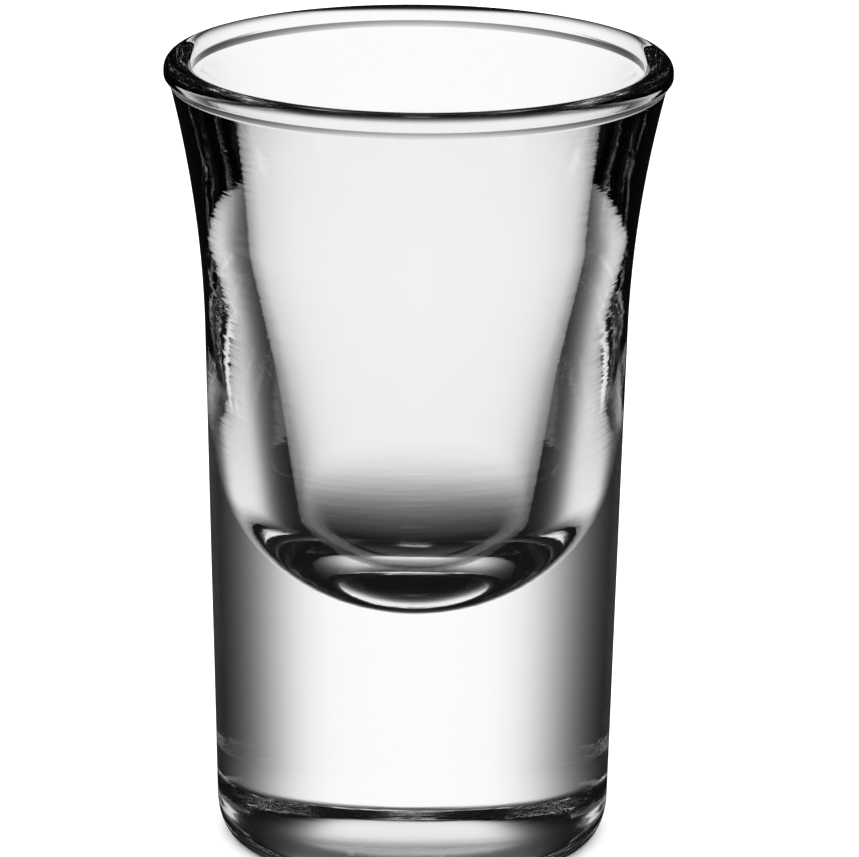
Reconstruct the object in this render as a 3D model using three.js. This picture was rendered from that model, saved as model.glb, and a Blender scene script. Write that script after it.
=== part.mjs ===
// A small heavy-based shot glass: one body of clear pressed glass, turned about its own axis.
// Millimetres, +Z up. The origin is the centre of the underside of the foot.
import * as THREE from "three";

// Driving dimensions.
const HEIGHT = 70; // from the surface it stands on to the crown of the lip
const LIP_RADIUS = 22.05; // outside, at the widest
const LIP_OUTER_WIDTH = 1.0; // of the lip's rounded top, from its crown out to the upright band
const LIP_INNER_WIDTH = 1.5; // from its crown in to the mouth
const LIP_CROWN = 1.0; // height of the crown above the sides of the rounded top
const LIP_BAND = 0.4; // height of the upright band outside, under the rounded top
const LIP_CORNER = 0.15; // radius of the corner between the band and the undercut
const LIP_INNER_FACE = 0.9; // height of the upright face inside, under the rounded top
const CREASE_HEIGHT = 67.8; // where the lip's undercut meets the outer wall
const FOOT_RADIUS = 17.3; // outside, just above the rounded bottom edge
const FOOT_EDGE_WIDTH = 1.6; // of the rounded bottom edge, from its side in to the flat underside
const FOOT_EDGE_HEIGHT = 3.5; // of the rounded bottom edge
const WALL_DRAFT = 0.027; // radius that the outside gains for each millimetre of height
const FLARE_START = 45.7; // height where the outside starts to open towards the lip
const FLARE_RADIUS = 99; // of the long outer curve from there to the lip
const BASE_THICKNESS = 22; // solid glass under the lowest point of the bowl
const BOWL_ROUNDING = 11.1; // radius of the rounded bottom of the bowl
const BOWL_TAPER = THREE.MathUtils.degToRad(10.2); // half angle of the bowl's conical side
const MOUTH_FLARE_START = 55; // height where the bowl starts to open towards the mouth

// How finely the turned surface is divided.
const FACETS_ROUND = 64;
const STEPS = { foot: 6, wall: 4, flare: 8, corner: 2, crown: 5, mouth: 7, bowl: 9 };

// The rounded top of the lip is two quarters of ellipses about this point.
const LIP_CENTRE = { radius: LIP_RADIUS - LIP_OUTER_WIDTH, height: HEIGHT - LIP_CROWN };

// Whole numbers 0 to steps as fractions of one.
function fractions(steps) {
  return Array.from({ length: steps + 1 }, (_, i) => i / steps);
}

// Points on an arc of an ellipse, counted from the outward direction and up.
function arc(centre, halfWidth, halfHeight, from, to, steps) {
  return fractions(steps).map((t) => {
    const angle = from + (to - from) * t;
    return new THREE.Vector2(
      centre.radius + halfWidth * Math.cos(angle),
      centre.height + halfHeight * Math.sin(angle),
    );
  });
}

// Points on a side whose radius is a function of height.
function side(radiusAt, from, to, steps) {
  return fractions(steps).map((t) => {
    const height = from + (to - from) * t;
    return new THREE.Vector2(radiusAt(height), height);
  });
}

// Outside of the wall: a slight straight draft, then a long curve outwards.
function outerRadius(height) {
  const flared = Math.max(0, height - FLARE_START);
  return FOOT_RADIUS + WALL_DRAFT * (height - FOOT_EDGE_HEIGHT) + flared ** 2 / (2 * FLARE_RADIUS);
}

// The rounded bottom of the bowl runs into the cone where both have the same slope.
const BOWL_CENTRE = { radius: 0, height: BASE_THICKNESS + BOWL_ROUNDING };
const CONE_START = {
  radius: BOWL_ROUNDING * Math.cos(BOWL_TAPER),
  height: BOWL_CENTRE.height - BOWL_ROUNDING * Math.sin(BOWL_TAPER),
};

function coneRadius(height) {
  return CONE_START.radius + Math.tan(BOWL_TAPER) * (height - CONE_START.height);
}

// The cone opens near the mouth in a curve that ends under the lip's upright inner face.
const MOUTH_EDGE = {
  radius: LIP_CENTRE.radius - LIP_INNER_WIDTH,
  height: LIP_CENTRE.height - LIP_INNER_FACE,
};
const MOUTH_OPENING = MOUTH_EDGE.radius - coneRadius(MOUTH_EDGE.height);

function mouthRadius(height) {
  const share = (height - MOUTH_FLARE_START) / (MOUTH_EDGE.height - MOUTH_FLARE_START);
  return coneRadius(height) + MOUTH_OPENING * share ** 2;
}

// The foot's flat underside and its rounded edge.
function footOutline() {
  const centre = { radius: FOOT_RADIUS - FOOT_EDGE_WIDTH, height: FOOT_EDGE_HEIGHT };
  const edge = arc(centre, FOOT_EDGE_WIDTH, FOOT_EDGE_HEIGHT, -Math.PI / 2, 0, STEPS.foot);
  return [new THREE.Vector2(0, 0), ...edge];
}

// Up the outside to the crease where the lip stands out from the wall.
function outerWallOutline() {
  return [
    ...side(outerRadius, FOOT_EDGE_HEIGHT, FLARE_START, STEPS.wall).slice(1),
    ...side(outerRadius, FLARE_START, CREASE_HEIGHT, STEPS.flare).slice(1),
  ];
}

// The undercut is straight from the crease, and runs into the rounded corner under the band.
function lipCornerOutline() {
  const centre = { radius: LIP_RADIUS - LIP_CORNER, height: LIP_CENTRE.height - LIP_BAND };
  const across = centre.radius - outerRadius(CREASE_HEIGHT);
  const up = centre.height - CREASE_HEIGHT;
  const undercutSlope = Math.atan2(up, across) - Math.asin(LIP_CORNER / Math.hypot(across, up));
  return arc(centre, LIP_CORNER, LIP_CORNER, undercutSlope - Math.PI / 2, 0, STEPS.corner);
}

// Over the lip, from its corner outside to the mouth's edge inside.
function lipOutline() {
  const quarter = Math.PI / 2;
  return [
    ...lipCornerOutline(),
    ...arc(LIP_CENTRE, LIP_OUTER_WIDTH, LIP_CROWN, 0, quarter, STEPS.crown),
    ...arc(LIP_CENTRE, LIP_INNER_WIDTH, LIP_CROWN, quarter, Math.PI, STEPS.crown).slice(1),
    new THREE.Vector2(MOUTH_EDGE.radius, MOUTH_EDGE.height),
  ];
}

// Down the inside: the mouth's curve, the straight cone, and the rounded bottom to the axis.
function bowlOutline() {
  const bottom = arc(BOWL_CENTRE, BOWL_ROUNDING, BOWL_ROUNDING, -BOWL_TAPER, -Math.PI / 2, STEPS.bowl);
  bottom[bottom.length - 1].x = 0;
  return [...side(mouthRadius, MOUTH_EDGE.height, MOUTH_FLARE_START, STEPS.mouth).slice(1), ...bottom];
}

function glassBody() {
  const outline = [...footOutline(), ...outerWallOutline(), ...lipOutline(), ...bowlOutline()];
  const geometry = new THREE.LatheGeometry(outline, FACETS_ROUND);
  geometry.rotateX(Math.PI / 2);
  const glass = new THREE.MeshStandardMaterial({
    color: 0xf2f5f5,
    roughness: 0.03,
    metalness: 0,
    transparent: true,
    opacity: 0.3,
  });
  const mesh = new THREE.Mesh(geometry, glass);
  mesh.name = "glass_body";
  return mesh;
}

const shotGlass = new THREE.Group();
shotGlass.add(glassBody());

export default shotGlass;
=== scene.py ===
"""Visual model of a small, heavy-based shot glass of clear pressed glass.

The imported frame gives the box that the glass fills. The glass is one turned surface, and the
stage round it is a pale floor in an even light with a bright field behind the glass, which
draws the dark outlines that clear glass has in a photographer's tent.
"""

import math

import bpy
import numpy as np
from bpy.props import FloatProperty, FloatVectorProperty, IntProperty, PointerProperty
from mathutils import Matrix, Vector


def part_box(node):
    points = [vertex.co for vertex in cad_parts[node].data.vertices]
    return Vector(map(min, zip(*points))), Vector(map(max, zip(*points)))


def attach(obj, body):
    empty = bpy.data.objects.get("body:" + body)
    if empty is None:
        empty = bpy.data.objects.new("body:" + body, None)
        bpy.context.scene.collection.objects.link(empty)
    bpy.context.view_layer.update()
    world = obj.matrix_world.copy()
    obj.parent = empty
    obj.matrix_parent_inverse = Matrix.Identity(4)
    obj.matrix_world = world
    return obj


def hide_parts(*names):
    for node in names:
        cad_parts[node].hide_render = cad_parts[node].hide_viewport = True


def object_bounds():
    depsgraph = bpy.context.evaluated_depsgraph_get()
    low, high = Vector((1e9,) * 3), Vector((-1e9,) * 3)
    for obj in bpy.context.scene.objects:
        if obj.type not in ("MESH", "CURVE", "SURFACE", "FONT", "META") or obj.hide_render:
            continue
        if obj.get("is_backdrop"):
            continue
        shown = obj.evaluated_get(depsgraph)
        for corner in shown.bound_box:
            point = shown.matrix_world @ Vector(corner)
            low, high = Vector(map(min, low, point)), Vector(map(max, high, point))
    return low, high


bl_info = {
    "name": "Shot Glass",
    "version": (1, 0, 0),
    "blender": (4, 5, 0),
    "location": "View3D > Sidebar > Shot Glass",
    "description": "Makes a clear heavy-based shot glass and the pale stage it stands on",
    "category": "Add Mesh",
}

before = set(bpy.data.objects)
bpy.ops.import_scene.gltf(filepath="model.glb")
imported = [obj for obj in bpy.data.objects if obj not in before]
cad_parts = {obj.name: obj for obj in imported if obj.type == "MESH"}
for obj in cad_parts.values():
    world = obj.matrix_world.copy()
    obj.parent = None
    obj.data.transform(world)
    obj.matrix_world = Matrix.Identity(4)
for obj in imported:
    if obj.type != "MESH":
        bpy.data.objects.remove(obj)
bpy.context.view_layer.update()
GLASS_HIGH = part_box("glass_body")[1]

MM = 0.001
RIGHT_ANGLE = math.pi / 2

# How many steps each part of the section is divided into.
STEPS = {
    "underside": 30, "foot_edge": 24, "wall": 110, "undercut": 6, "lip_corner": 12,
    "lip_top": 16, "bowl_side": 100, "bowl_bottom": 50,
}
GAP_UNDER_CREASE = 0.1 * MM

# Waves in the pressed glass, each (part of the whole, waves round the glass, drift, phase). The drift
# is how many radians the wave turns from the foot to the lip.
WALL_WAVES = ((0.40, 3, 9, 0.4), (0.30, 5, -14, 1.9), (0.30, 8, 23, 4.1))
EDGE_WAVES = ((0.45, 4, 0, 0.7), (0.30, 7, 0, 2.3), (0.25, 12, 0, 5.2))
LIP_FADE = 6 * MM
AXIS_FADE = 8 * MM
EDGE_WAVE_HEIGHT = 1.2 * MM
EDGE_WAVE_REACH = 2.6 * MM

# Faint marks in the surface of the glass, with scales in features for each metre.
BUMP_DEPTH = 0.05 * MM
BROAD_WAVE_SCALE = 160.0
BROAD_WAVE_STRENGTH = 0.02
MOULD_MARK_SCALE = (80.0, 80.0, 1400.0)
SCRATCH_SCALE = 900.0
SCRATCH_START, SCRATCH_FULL = 0.5, 0.7
SCUFF_HEIGHT = 0.25 * MM
SCUFF_SHADE = 0.97

# The floor.
FLOOR_RADIUS = 4.0
FLOOR_DROP = 0.02 * MM
FLOOR_CORNERS = 96
GRAIN_SCALE = 40.0
GRAIN_SHADE = 1.01

# The bright fields, each part as (half angle in degrees, steepness).
FIELD_BEHIND = {"drop": (39.5, 9.3), "rise": (5, 2.5)}
LAMP_TOP = {"width": (24, 8), "drop": (1, 4), "rise": (44, 14)}
LAMP_FOOT = {"width": (24, 8), "drop": (1, 4), "rise": (20, 14)}
FIELD_OPPOSITE = {"drop": (45, 12), "rise": (1, 4)}
FIELD_LEVEL = {"drop": (70, 12), "rise": (10, 4)}
LEVEL_FACINGS = (90, 180)
BELOW_ONE = 0.5  # parts a count of one or more from a count of none

SENSOR_WIDTH = 36


# ---------------------------------------------------------------- sizes and looks

class ShotGlassSizes(bpy.types.PropertyGroup):
    """Driving dimensions of the glass, in metres."""

    height: FloatProperty(
        name="Height",
        description="From the surface the glass stands on to the crown of the lip",
        default=GLASS_HIGH[2], unit="LENGTH", precision=4,
    )
    lip_radius: FloatProperty(
        name="Lip Radius",
        description="Outside radius of the lip at its widest",
        default=GLASS_HIGH[0], unit="LENGTH", precision=4,
    )
    lip_outer_width: FloatProperty(
        name="Lip Outer Width",
        description="Of the lip's rounded top, from its crown out to the upright band",
        default=1.0 * MM, unit="LENGTH", precision=4,
    )
    lip_inner_width: FloatProperty(
        name="Lip Inner Width",
        description="Of the lip's rounded top, from its crown in to the mouth",
        default=1.5 * MM, unit="LENGTH", precision=4,
    )
    lip_crown: FloatProperty(
        name="Lip Crown",
        description="Height of the crown above the sides of the rounded top",
        default=1.0 * MM, unit="LENGTH", precision=4,
    )
    lip_band: FloatProperty(
        name="Lip Band",
        description="Height of the upright band outside, under the rounded top",
        default=0.4 * MM, unit="LENGTH", precision=4,
    )
    lip_corner: FloatProperty(
        name="Lip Corner",
        description="Radius of the corner between the band and the undercut",
        default=0.15 * MM, unit="LENGTH", precision=5,
    )
    lip_inner_face: FloatProperty(
        name="Lip Inner Face",
        description="Height of the upright face inside, under the rounded top",
        default=0.9 * MM, unit="LENGTH", precision=4,
    )
    crease_height: FloatProperty(
        name="Crease Height",
        description="Where the lip's undercut meets the outer wall",
        default=67.8 * MM, unit="LENGTH", precision=4,
    )
    foot_radius: FloatProperty(
        name="Foot Radius",
        description="Outside radius just above the rounded bottom edge",
        default=17.3 * MM, unit="LENGTH", precision=4,
    )
    foot_edge_width: FloatProperty(
        name="Foot Edge Width",
        description="Of the rounded bottom edge, from its side in to the flat underside",
        default=1.6 * MM, unit="LENGTH", precision=4,
    )
    foot_edge_height: FloatProperty(
        name="Foot Edge Height",
        description="Of the rounded bottom edge",
        default=3.5 * MM, unit="LENGTH", precision=4,
    )
    wall_draft: FloatProperty(
        name="Wall Draft",
        description="Radius that the outside gains for each unit of height",
        default=0.027,
    )
    flare_start: FloatProperty(
        name="Flare Start",
        description="Height where the outside starts to open towards the lip",
        default=45.7 * MM, unit="LENGTH", precision=4,
    )
    flare_radius: FloatProperty(
        name="Flare Radius",
        description="Radius of the long outer curve from there to the lip",
        default=99 * MM, unit="LENGTH", precision=4,
    )
    base_thickness: FloatProperty(
        name="Base Thickness",
        description="Solid glass under the lowest point of the bowl",
        default=22 * MM, unit="LENGTH", precision=4,
    )
    bowl_rounding: FloatProperty(
        name="Bowl Rounding",
        description="Radius of the rounded bottom of the bowl",
        default=11.1 * MM, unit="LENGTH", precision=4,
    )
    bowl_taper: FloatProperty(
        name="Bowl Taper",
        description="Half angle of the bowl's conical side",
        default=math.radians(10.2), subtype="ANGLE",
    )
    mouth_flare_start: FloatProperty(
        name="Mouth Flare Start",
        description="Height where the bowl starts to open towards the mouth",
        default=55 * MM, unit="LENGTH", precision=4,
    )
    press_wave: FloatProperty(
        name="Press Wave",
        description="How far the pressed walls wander from true round",
        default=0.010 * MM, unit="LENGTH", precision=6,
    )
    foot_wave: FloatProperty(
        name="Foot Wave",
        description="How far the foot's rounded edge wanders from true round",
        default=0.022 * MM, unit="LENGTH", precision=6,
    )
    segments: IntProperty(
        name="Segments",
        description="Divisions of the turned surface round its axis",
        default=208, min=32, max=256,
    )


class ShotGlassLooks(bpy.types.PropertyGroup):
    """Finish of the glass and of the floor."""

    glass_tint: FloatVectorProperty(
        name="Glass Tint",
        description="Colour of light that has passed through the surface",
        default=(0.992, 0.996, 0.994), size=3, min=0, max=1, subtype="COLOR",
    )
    glass_ior: FloatProperty(
        name="Refraction",
        description="Index of refraction of soda-lime glass",
        default=1.52, min=1, max=2,
    )
    scuff_roughness: FloatProperty(
        name="Scuff Roughness",
        description="Roughness of the ring that the glass stands on",
        default=0.12, min=0, max=1, subtype="FACTOR",
    )
    mould_marks: FloatProperty(
        name="Mould Marks",
        description="Strength of the fine level rings that the turned mould leaves in the glass",
        default=0.1, min=0, max=1, subtype="FACTOR",
    )
    floor_colour: FloatVectorProperty(
        name="Floor Colour",
        description="Colour of the pale floor",
        default=(0.92, 0.92, 0.92), size=3, min=0, max=1, subtype="COLOR",
    )


class ShotGlassStage(bpy.types.PropertyGroup):
    """Camera and light of the stage."""

    facing: FloatProperty(
        name="Facing",
        description="Level direction that the camera looks along, turned from +X",
        default=math.radians(315), subtype="ANGLE",
    )
    elevation: FloatProperty(
        name="Elevation",
        description="How far the camera stands above the level of the glass",
        default=math.radians(16.1), subtype="ANGLE",
    )
    distance: FloatProperty(
        name="Distance",
        description="From the middle of the glass to the camera",
        default=0.6, unit="LENGTH",
    )
    lens: FloatProperty(
        name="Lens",
        description="Focal length for a sensor 36 mm wide",
        default=286.7,
    )
    roll: FloatProperty(
        name="Roll",
        description="Turn of the camera about its own line of sight",
        default=math.radians(0.51), subtype="ANGLE",
    )
    aim_right: FloatProperty(
        name="Aim Right",
        description="How far right of the axis the camera points",
        default=1.23 * MM, unit="LENGTH", precision=5,
    )
    aim_up: FloatProperty(
        name="Aim Up",
        description="How far above the middle of the glass the camera points",
        default=1.61 * MM, unit="LENGTH", precision=5,
    )
    floor_light: FloatProperty(
        name="Floor Light",
        description="Strength of the even light that falls on the floor",
        default=2.4,
    )
    field_light: FloatProperty(
        name="Field Light",
        description="Strength of the bright field behind the glass, and of those for walking round it",
        default=1.05,
    )
    field_half_width: FloatProperty(
        name="Field Half Width",
        description="Level angle from the middle of a bright field to half its strength",
        default=math.radians(32.8), subtype="ANGLE",
    )
    field_steepness: FloatProperty(
        name="Field Steepness",
        description="Power that sets how sharply the sides of a bright field end",
        default=5.2,
    )
    lamp_light: FloatProperty(
        name="Lamp Light",
        description="Strength of the narrower light that stands over the bright field",
        default=0.9,
    )
    surround_light: FloatProperty(
        name="Surround Light",
        description="Strength of the faint light from all other directions",
        default=0.007,
    )


# ---------------------------------------------------------------- the turned surface

def ellipse_arc(centre, half_width, half_height, start, end, steps):
    """Points (radius, height) at equal angles: centre + (half_width cos a, half_height sin a)."""
    angle = np.linspace(start, end, steps + 1)
    radius = centre[0] + half_width * np.cos(angle)
    height = centre[1] + half_height * np.sin(angle)
    return np.stack([radius, height], axis=-1)


def outer_radius(sizes, height):
    """Foot radius plus a straight draft, plus flared^2 / (2 x flare radius) above the flare's start."""
    flared = np.maximum(0, height - sizes.flare_start)
    drafted = sizes.foot_radius + sizes.wall_draft * (height - sizes.foot_edge_height)
    return drafted + flared**2 / (2 * sizes.flare_radius)


def foot_outline(sizes):
    """The flat underside from the axis outwards, then a quarter of an ellipse up to the wall."""
    flat = sizes.foot_radius - sizes.foot_edge_width
    radius = np.linspace(0, flat, STEPS["underside"] + 1)[:-1]
    underside = np.stack([radius, np.zeros_like(radius)], axis=-1)
    centre = (flat, sizes.foot_edge_height)
    edge = ellipse_arc(
        centre, sizes.foot_edge_width, sizes.foot_edge_height, -RIGHT_ANGLE, 0, STEPS["foot_edge"])
    return np.concatenate([underside, edge])


def straight(start, end, steps):
    """Points (radius, height) at equal steps of a straight line, without its end."""
    share = np.linspace(0, 1, steps + 1)[:-1, None]
    return np.asarray(start) + share * (np.asarray(end) - np.asarray(start))


def lip_outline(sizes):
    """From the crease over the lip to the mouth.

    A straight undercut is tangent to a small corner arc, an upright band follows, then two quarters
    of ellipses that share a centre, and an upright face down to the mouth.
    """
    centre = (sizes.lip_radius - sizes.lip_outer_width, sizes.height - sizes.lip_crown)
    crease = (float(outer_radius(sizes, sizes.crease_height)), sizes.crease_height)
    corner_centre = (sizes.lip_radius - sizes.lip_corner, centre[1] - sizes.lip_band)
    across, up = corner_centre[0] - crease[0], corner_centre[1] - crease[1]
    undercut_slope = math.atan2(up, across) - math.asin(sizes.lip_corner / math.hypot(across, up))
    corner = ellipse_arc(
        corner_centre, sizes.lip_corner, sizes.lip_corner,
        undercut_slope - RIGHT_ANGLE, 0, STEPS["lip_corner"])
    top = STEPS["lip_top"]
    outer = ellipse_arc(centre, sizes.lip_outer_width, sizes.lip_crown, 0, RIGHT_ANGLE, top)
    inner = ellipse_arc(centre, sizes.lip_inner_width, sizes.lip_crown, RIGHT_ANGLE, math.pi, top)
    mouth_edge = inner[-1] - (0, sizes.lip_inner_face)
    undercut = straight(crease, corner[0], STEPS["undercut"])
    return np.concatenate([undercut, corner, outer, inner[1:], [mouth_edge]])


def wall_outline(sizes):
    """Up the outside, on the outer radius, to just under the crease where the lip starts."""
    wall_top = sizes.crease_height - GAP_UNDER_CREASE
    height = np.linspace(sizes.foot_edge_height, wall_top, STEPS["wall"] + 1)[1:]
    return np.stack([outer_radius(sizes, height), height], axis=-1)


def bowl_outline(sizes, mouth_edge):
    """Down the inside: a cone that opens by (share of the way to the mouth)^2, and a round bottom."""
    rounding, taper = sizes.bowl_rounding, sizes.bowl_taper
    centre_height = sizes.base_thickness + rounding
    cone_start = (rounding * math.cos(taper), centre_height - rounding * math.sin(taper))

    def cone_radius(height):
        """Radius at the cone's start plus tan(taper) for each unit of height."""
        return cone_start[0] + math.tan(taper) * (height - cone_start[1])

    opening = mouth_edge[0] - cone_radius(mouth_edge[1])
    height = np.linspace(mouth_edge[1], cone_start[1], STEPS["bowl_side"] + 1)[1:-1]
    reach = mouth_edge[1] - sizes.mouth_flare_start
    share = np.maximum(0, height - sizes.mouth_flare_start) / reach
    side = np.stack([cone_radius(height) + opening * share**2, height], axis=-1)
    bottom = ellipse_arc(
        (0, centre_height), rounding, rounding, -taper, -RIGHT_ANGLE, STEPS["bowl_bottom"])
    return np.concatenate([side, bottom])


def glass_outline(sizes):
    """The whole section, from the middle of the underside round to the bottom of the bowl."""
    lip = lip_outline(sizes)
    return np.concatenate([
        foot_outline(sizes), wall_outline(sizes), lip, bowl_outline(sizes, lip[-1]),
    ])


def wave_sum(waves, turn, height, span):
    """Sum of part x cos(count x turn + drift x height / span + phase)."""
    return sum(
        part * np.cos(count * turn + drift * height / span + phase)
        for part, count, drift, phase in waves)


def pressed_wave(sizes, turn, radius, height):
    """Change of radius: the walls' waves, plus the foot edge's own times its closeness squared.

    Both fade out evenly below the lip, and with the square of the radius near the axis.
    """
    walls = wave_sum(WALL_WAVES, turn, height, sizes.height)
    edge = wave_sum(EDGE_WAVES, turn, height, sizes.height)
    below_lip = np.clip((sizes.height - sizes.lip_crown - height) / LIP_FADE, 0, 1)
    off_axis = np.clip(radius / AXIS_FADE, 0, 1) ** 2
    near_foot = np.clip(1 - np.abs(height - EDGE_WAVE_HEIGHT) / EDGE_WAVE_REACH, 0, 1) ** 2
    return off_axis * below_lip * (sizes.press_wave * walls + near_foot * sizes.foot_wave * edge)


def turned_mesh(name, sizes):
    """A closed surface of two parameters, turn u and place v along the section.

    (x, y, z) = ((r(v) + wave(u, v)) cos u, (r(v) + wave(u, v)) sin u, z(v)), with a point at each pole.
    """
    outline = glass_outline(sizes)
    ring = outline[1:-1]
    turn = np.linspace(0, 2 * math.pi, sizes.segments, endpoint=False)
    radius, height = ring[:, :1], ring[:, 1:]
    radius = radius + pressed_wave(sizes, turn[None, :], radius, height)
    height = np.broadcast_to(height, radius.shape)
    points = np.stack([radius * np.cos(turn), radius * np.sin(turn), height], axis=-1)
    poles = [[0, 0, outline[0, 1]], [0, 0, outline[-1, 1]]]
    vertices = np.concatenate([points.reshape(-1, 3), poles])
    faces = turned_faces(len(ring), sizes.segments)
    mesh = bpy.data.meshes.new(name)
    mesh.from_pydata(vertices.tolist(), [], faces)
    mesh.polygons.foreach_set("use_smooth", np.ones(len(mesh.polygons), dtype=bool))
    mesh.update()
    return mesh


def turned_faces(rings, segments):
    """Quads between neighbouring rings, and a fan of triangles to the pole at each end."""
    here = np.arange(segments)
    after = (here + 1) % segments
    row = np.arange(rings - 1)[:, None] * segments
    quads = np.stack([row + here, row + after, row + segments + after, row + segments + here], axis=-1)
    last = (rings - 1) * segments
    bottom_pole, bowl_pole = rings * segments, rings * segments + 1
    underside = np.stack([np.full(segments, bottom_pole), after, here], axis=-1)
    bowl = np.stack([np.full(segments, bowl_pole), last + here, last + after], axis=-1)
    return quads.reshape(-1, 4).tolist() + underside.tolist() + bowl.tolist()


# ---------------------------------------------------------------- node helpers

def add_node(tree, kind, inputs=(), **settings):
    """A node of a tree, with its settings and inputs, each input a number, vector or socket."""
    node = tree.nodes.new(kind)
    for key, value in settings.items():
        setattr(node, key, value)
    for key, value in dict(inputs).items():
        if isinstance(value, bpy.types.NodeSocket):
            tree.links.new(value, node.inputs[key])
        else:
            node.inputs[key].default_value = value
    return node


def calculate(tree, operation, *values):
    """The output of a Math node."""
    return add_node(tree, "ShaderNodeMath", enumerate(values), operation=operation).outputs[0]


def ramp_between(tree, value, start, end):
    """Smooth rise from 0 at start to 1 at end."""
    inputs = {"Value": value, "From Min": start, "From Max": end, "To Min": 0.0, "To Max": 1.0}
    node = add_node(tree, "ShaderNodeMapRange", inputs, interpolation_type="SMOOTHSTEP")
    return node.outputs["Result"]


def new_group(name, inputs, outputs):
    """A shader node group with named sockets, each given as (name, socket type)."""
    group = bpy.data.node_groups.new(name, "ShaderNodeTree")
    for label, kind in inputs:
        group.interface.new_socket(label, in_out="INPUT", socket_type=kind)
    for label, kind in outputs:
        group.interface.new_socket(label, in_out="OUTPUT", socket_type=kind)
    return group, group.nodes.new("NodeGroupInput"), group.nodes.new("NodeGroupOutput")


# ---------------------------------------------------------------- materials

def clear_glass(looks):
    """Clear glass: faint waves and fine level rings from the mould, and a scuffed ring underneath."""
    material = bpy.data.materials.new("clear_glass")
    material.use_nodes = True
    tree = material.node_tree
    surface = tree.nodes["Principled BSDF"]
    place = add_node(tree, "ShaderNodeTexCoord").outputs["Object"]

    waves = add_node(
        tree, "ShaderNodeTexNoise", {"Vector": place, "Scale": BROAD_WAVE_SCALE, "Detail": 2.0})
    broad_inputs = {
        "Height": waves.outputs["Fac"], "Strength": BROAD_WAVE_STRENGTH, "Distance": BUMP_DEPTH,
    }
    broad = add_node(tree, "ShaderNodeBump", broad_inputs)
    level = add_node(tree, "ShaderNodeMapping", {"Vector": place, "Scale": MOULD_MARK_SCALE})
    rings = add_node(
        tree, "ShaderNodeTexNoise", {"Vector": level.outputs["Vector"], "Scale": 1.0, "Detail": 3.0})
    fine_inputs = {
        "Height": rings.outputs["Fac"], "Strength": looks.mould_marks, "Distance": BUMP_DEPTH,
        "Normal": broad.outputs["Normal"],
    }
    bump = add_node(tree, "ShaderNodeBump", fine_inputs)

    scratches = add_node(
        tree, "ShaderNodeTexNoise", {"Vector": place, "Scale": SCRATCH_SCALE, "Detail": 4.0})
    height = add_node(tree, "ShaderNodeSeparateXYZ", {"Vector": place}).outputs["Z"]
    standing = ramp_between(tree, height, SCUFF_HEIGHT, 0.0)
    worn = ramp_between(tree, scratches.outputs["Fac"], SCRATCH_START, SCRATCH_FULL)
    scuff = calculate(tree, "MULTIPLY", standing, worn)
    roughness = calculate(tree, "MULTIPLY", scuff, looks.scuff_roughness)

    cloudy = add_node(tree, "ShaderNodeMix", {"Factor": scuff}, data_type="RGBA")
    cloudy.inputs["A"].default_value = (*looks.glass_tint, 1)
    cloudy.inputs["B"].default_value = (*[SCUFF_SHADE * part for part in looks.glass_tint], 1)

    surface.inputs["IOR"].default_value = looks.glass_ior
    surface.inputs["Transmission Weight"].default_value = 1
    tree.links.new(cloudy.outputs["Result"], surface.inputs["Base Color"])
    tree.links.new(roughness, surface.inputs["Roughness"])
    tree.links.new(bump.outputs["Normal"], surface.inputs["Normal"])
    return material


def floor_finish(looks):
    """Pale matt board with a grain too faint to draw the eye."""
    material = bpy.data.materials.new("floor_board")
    material.use_nodes = True
    tree = material.node_tree
    surface = tree.nodes["Principled BSDF"]
    place = add_node(tree, "ShaderNodeTexCoord").outputs["Object"]
    grain = add_node(
        tree, "ShaderNodeTexNoise", {"Vector": place, "Scale": GRAIN_SCALE, "Detail": 3.0})
    board = add_node(tree, "ShaderNodeMix", {"Factor": grain.outputs["Fac"]}, data_type="RGBA")
    board.inputs["A"].default_value = (*looks.floor_colour, 1)
    board.inputs["B"].default_value = (*[GRAIN_SHADE * part for part in looks.floor_colour], 1)
    tree.links.new(board.outputs["Result"], surface.inputs["Base Color"])
    surface.inputs["Roughness"].default_value = 1
    surface.inputs["Specular IOR Level"].default_value = 0
    return material


# ---------------------------------------------------------------- the light

def bright_field_group():
    """Share of light in a direction: a level part times two height parts.

    Each part is 1 / (1 + (angle / half angle)^steepness): the angle is the level turn from the
    facing, then how far the direction drops below level, then how far it rises above level.
    """
    names = ("Width", "Drop", "Rise")
    labels = ["Facing"] + [name + end for name in names for end in (" Half Angle", " Steepness")]
    inputs = [("Direction", "NodeSocketVector")] + [(label, "NodeSocketFloat") for label in labels]
    group, given, result = new_group("bright_field", inputs, [("Share", "NodeSocketFloat")])
    parts = add_node(group, "ShaderNodeSeparateXYZ", {"Vector": given.outputs["Direction"]}).outputs
    heading = calculate(group, "ARCTAN2", parts["Y"], parts["X"])
    turned = calculate(group, "SUBTRACT", heading, given.outputs["Facing"])
    elevation = calculate(group, "ARCSINE", parts["Z"])
    angles = {
        "Width": calculate(group, "ARCCOSINE", calculate(group, "COSINE", turned)),
        "Drop": calculate(group, "MAXIMUM", calculate(group, "MULTIPLY", elevation, -1.0), 0.0),
        "Rise": calculate(group, "MAXIMUM", elevation, 0.0),
    }
    share = 1.0
    for name in names:
        ratio = calculate(group, "DIVIDE", angles[name], given.outputs[name + " Half Angle"])
        power = calculate(group, "POWER", ratio, given.outputs[name + " Steepness"])
        share = calculate(group, "DIVIDE", share, calculate(group, "ADD", 1.0, power))
    group.links.new(share, result.inputs["Share"])
    return group


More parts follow.
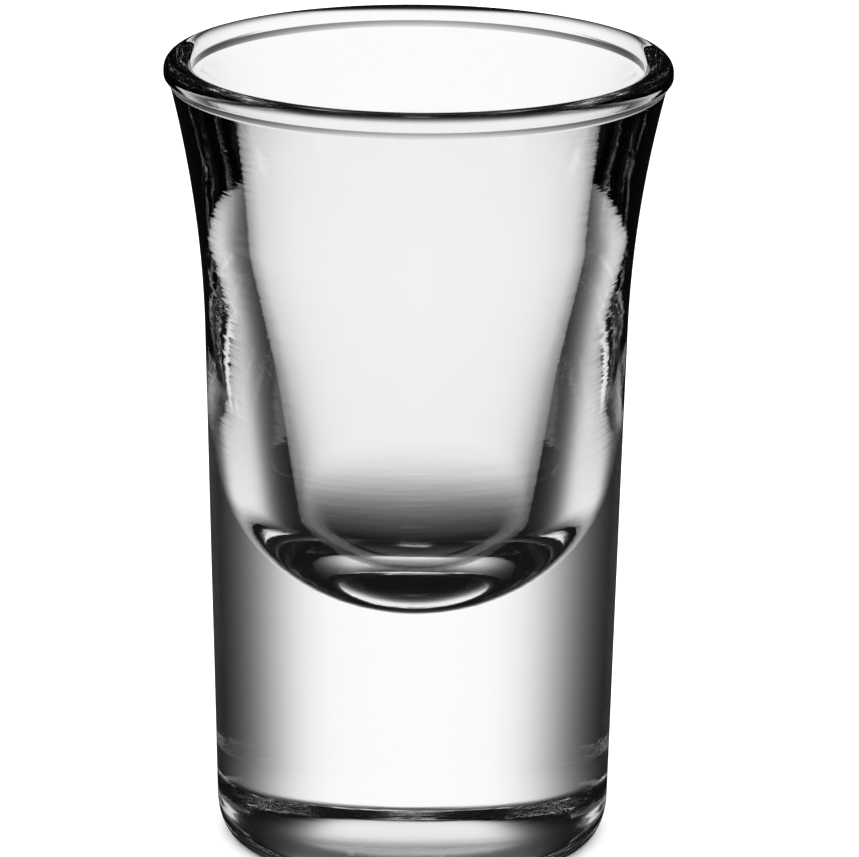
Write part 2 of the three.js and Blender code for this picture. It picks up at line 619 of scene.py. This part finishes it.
def bright_field(tree, group, direction, facing, **halves):
    """One bright field: its facing, and (half angle in degrees, steepness) of each of its parts."""
    node = tree.nodes.new("ShaderNodeGroup")
    node.node_tree = group
    tree.links.new(direction, node.inputs["Direction"])
    node.inputs["Facing"].default_value = facing
    for name, (angle, steepness) in halves.items():
        node.inputs[name.title() + " Half Angle"].default_value = math.radians(angle)
        node.inputs[name.title() + " Steepness"].default_value = steepness
    return node.outputs["Share"]


def surroundings(stage):
    """Even pale light for the floor, and bright fields behind the glass for what it refracts.

    The main field and the lamp over it stand behind the glass as the camera sees it. Three more
    serve someone who walks round, one opposite and two for a level line of sight. Those show
    only in light that was never mirrored, so that they lay no veil over the dark parts. Light
    mirrored by the outside, which never entered the glass, sees only the faint surround.
    """
    world = bpy.data.worlds.new("studio")
    world.use_nodes = True
    tree = world.node_tree
    direction = add_node(tree, "ShaderNodeTexCoord").outputs["Generated"]
    path = add_node(tree, "ShaderNodeLightPath").outputs
    group = bright_field_group()

    across = (math.degrees(stage.field_half_width), stage.field_steepness)
    behind = bright_field(tree, group, direction, stage.facing, width=across, **FIELD_BEHIND)
    lamp_top = bright_field(tree, group, direction, stage.facing, **LAMP_TOP)
    lamp_foot = bright_field(tree, group, direction, stage.facing, **LAMP_FOOT)
    opposite = bright_field(
        tree, group, direction, stage.facing + math.pi, width=across, **FIELD_OPPOSITE)
    levels = [
        bright_field(tree, group, direction, math.radians(turn), width=across, **FIELD_LEVEL)
        for turn in LEVEL_FACINGS
    ]
    walk_round = calculate(tree, "MAXIMUM", opposite, calculate(tree, "MAXIMUM", *levels))
    unmirrored = calculate(tree, "LESS_THAN", path["Glossy Depth"], BELOW_ONE)
    walk_round = calculate(tree, "MULTIPLY", walk_round, unmirrored)
    field = calculate(tree, "MAXIMUM", behind, walk_round)
    field = calculate(tree, "MULTIPLY", field, stage.field_light)
    lamp = calculate(tree, "SUBTRACT", lamp_top, lamp_foot)
    lamp = calculate(tree, "MULTIPLY", lamp, stage.lamp_light)
    inside = calculate(tree, "GREATER_THAN", path["Transmission Depth"], BELOW_ONE)
    field = calculate(tree, "MULTIPLY", calculate(tree, "ADD", field, lamp), inside)
    refracted = calculate(tree, "ADD", field, stage.surround_light)

    seen = path["Is Camera Ray"]
    spread = path["Is Diffuse Ray"]
    plain = calculate(tree, "MULTIPLY_ADD", spread, stage.floor_light, seen)
    bent = calculate(tree, "SUBTRACT", 1.0, calculate(tree, "MAXIMUM", seen, spread))
    background = tree.nodes["Background"]
    background.inputs["Color"].default_value = (1, 1, 1, 1)
    strength = calculate(tree, "MULTIPLY_ADD", refracted, bent, plain)
    tree.links.new(strength, background.inputs["Strength"])
    bpy.context.scene.world = world


def make_floor(looks):
    """A round board just under the foot, hidden from the light that the glass bends and mirrors.

    Its rim is (R cos u, R sin u, -drop) at equal steps of u.
    """
    turn = np.linspace(0, 2 * math.pi, FLOOR_CORNERS, endpoint=False)
    depth = np.full(FLOOR_CORNERS, -FLOOR_DROP)
    rim = np.stack([FLOOR_RADIUS * np.cos(turn), FLOOR_RADIUS * np.sin(turn), depth], axis=-1)
    mesh = bpy.data.meshes.new("floor")
    mesh.from_pydata(rim.tolist(), [], [list(range(FLOOR_CORNERS))])
    mesh.materials.append(floor_finish(looks))
    floor = bpy.data.objects.new("floor", mesh)
    bpy.context.collection.objects.link(floor)
    floor.visible_transmission = False
    floor.visible_glossy = False
    floor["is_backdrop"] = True


def make_camera(stage):
    """A long lens, a little above the level of the glass, looking along the stage's facing."""
    low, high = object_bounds()
    middle = (low + high) / 2
    ahead = Vector((math.cos(stage.facing), math.sin(stage.facing), 0))
    right = Vector((math.sin(stage.facing), -math.cos(stage.facing), 0))
    upward = Vector((0, 0, 1))
    back = upward * math.sin(stage.elevation) - ahead * math.cos(stage.elevation)
    top = upward * math.cos(stage.elevation) + ahead * math.sin(stage.elevation)
    place = middle + back * stage.distance
    aim = middle + right * stage.aim_right + top * stage.aim_up
    z_axis = (place - aim).normalized()
    x_axis = top.cross(z_axis).normalized()
    turned = Matrix((x_axis, z_axis.cross(x_axis), z_axis)).transposed().to_4x4()
    data = bpy.data.cameras.new("camera")
    data.sensor_width = SENSOR_WIDTH
    data.lens = stage.lens
    camera = bpy.data.objects.new("camera", data)
    camera.matrix_world = Matrix.Translation(place) @ turned @ Matrix.Rotation(stage.roll, 4, "Z")
    bpy.context.collection.objects.link(camera)
    bpy.context.scene.camera = camera


# ---------------------------------------------------------------- operators and panel

class SHOTGLASS_OT_glass(bpy.types.Operator):
    """Make the glass: one turned body of clear glass"""

    bl_idname = "shot_glass.glass"
    bl_label = "Glass"

    def execute(self, context):
        sizes = context.scene.shot_glass_sizes
        looks = context.scene.shot_glass_looks
        mesh = turned_mesh("shot_glass", sizes)
        mesh.materials.append(clear_glass(looks))
        glass = bpy.data.objects.new("shot_glass", mesh)
        context.collection.objects.link(glass)
        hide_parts("glass_body")
        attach(glass, "root")
        return {"FINISHED"}


class SHOTGLASS_OT_stage(bpy.types.Operator):
    """Make the stage: floor, light and camera"""

    bl_idname = "shot_glass.stage"
    bl_label = "Stage"

    def execute(self, context):
        scene = context.scene
        make_floor(scene.shot_glass_looks)
        surroundings(scene.shot_glass_stage)
        make_camera(scene.shot_glass_stage)
        scene.view_settings.view_transform = "Standard"
        scene.cycles.max_bounces = 32
        scene.cycles.transmission_bounces = 32
        scene.cycles.glossy_bounces = 16
        return {"FINISHED"}


class SHOTGLASS_PT_panel(bpy.types.Panel):
    """Lists the pieces and the sizes that drive them"""

    bl_idname = "SHOTGLASS_PT_panel"
    bl_label = "Shot Glass"
    bl_space_type = "VIEW_3D"
    bl_region_type = "UI"
    bl_category = "Shot Glass"

    def draw(self, context):
        layout = self.layout
        layout.operator("shot_glass.glass")
        layout.operator("shot_glass.stage")
        scene = context.scene
        for group in (scene.shot_glass_sizes, scene.shot_glass_looks, scene.shot_glass_stage):
            box = layout.box()
            for key in type(group).__annotations__:
                box.prop(group, key)


CLASSES = (
    ShotGlassSizes, ShotGlassLooks, ShotGlassStage,
    SHOTGLASS_OT_glass, SHOTGLASS_OT_stage, SHOTGLASS_PT_panel,
)


def register():
    for cls in CLASSES:
        bpy.utils.register_class(cls)
    bpy.types.Scene.shot_glass_sizes = PointerProperty(type=ShotGlassSizes)
    bpy.types.Scene.shot_glass_looks = PointerProperty(type=ShotGlassLooks)
    bpy.types.Scene.shot_glass_stage = PointerProperty(type=ShotGlassStage)


def unregister():
    del bpy.types.Scene.shot_glass_stage
    del bpy.types.Scene.shot_glass_looks
    del bpy.types.Scene.shot_glass_sizes
    for cls in reversed(CLASSES):
        bpy.utils.unregister_class(cls)


def main():
    register()
    bpy.ops.shot_glass.glass()
    bpy.ops.shot_glass.stage()


if __name__ == "__main__":
    main()
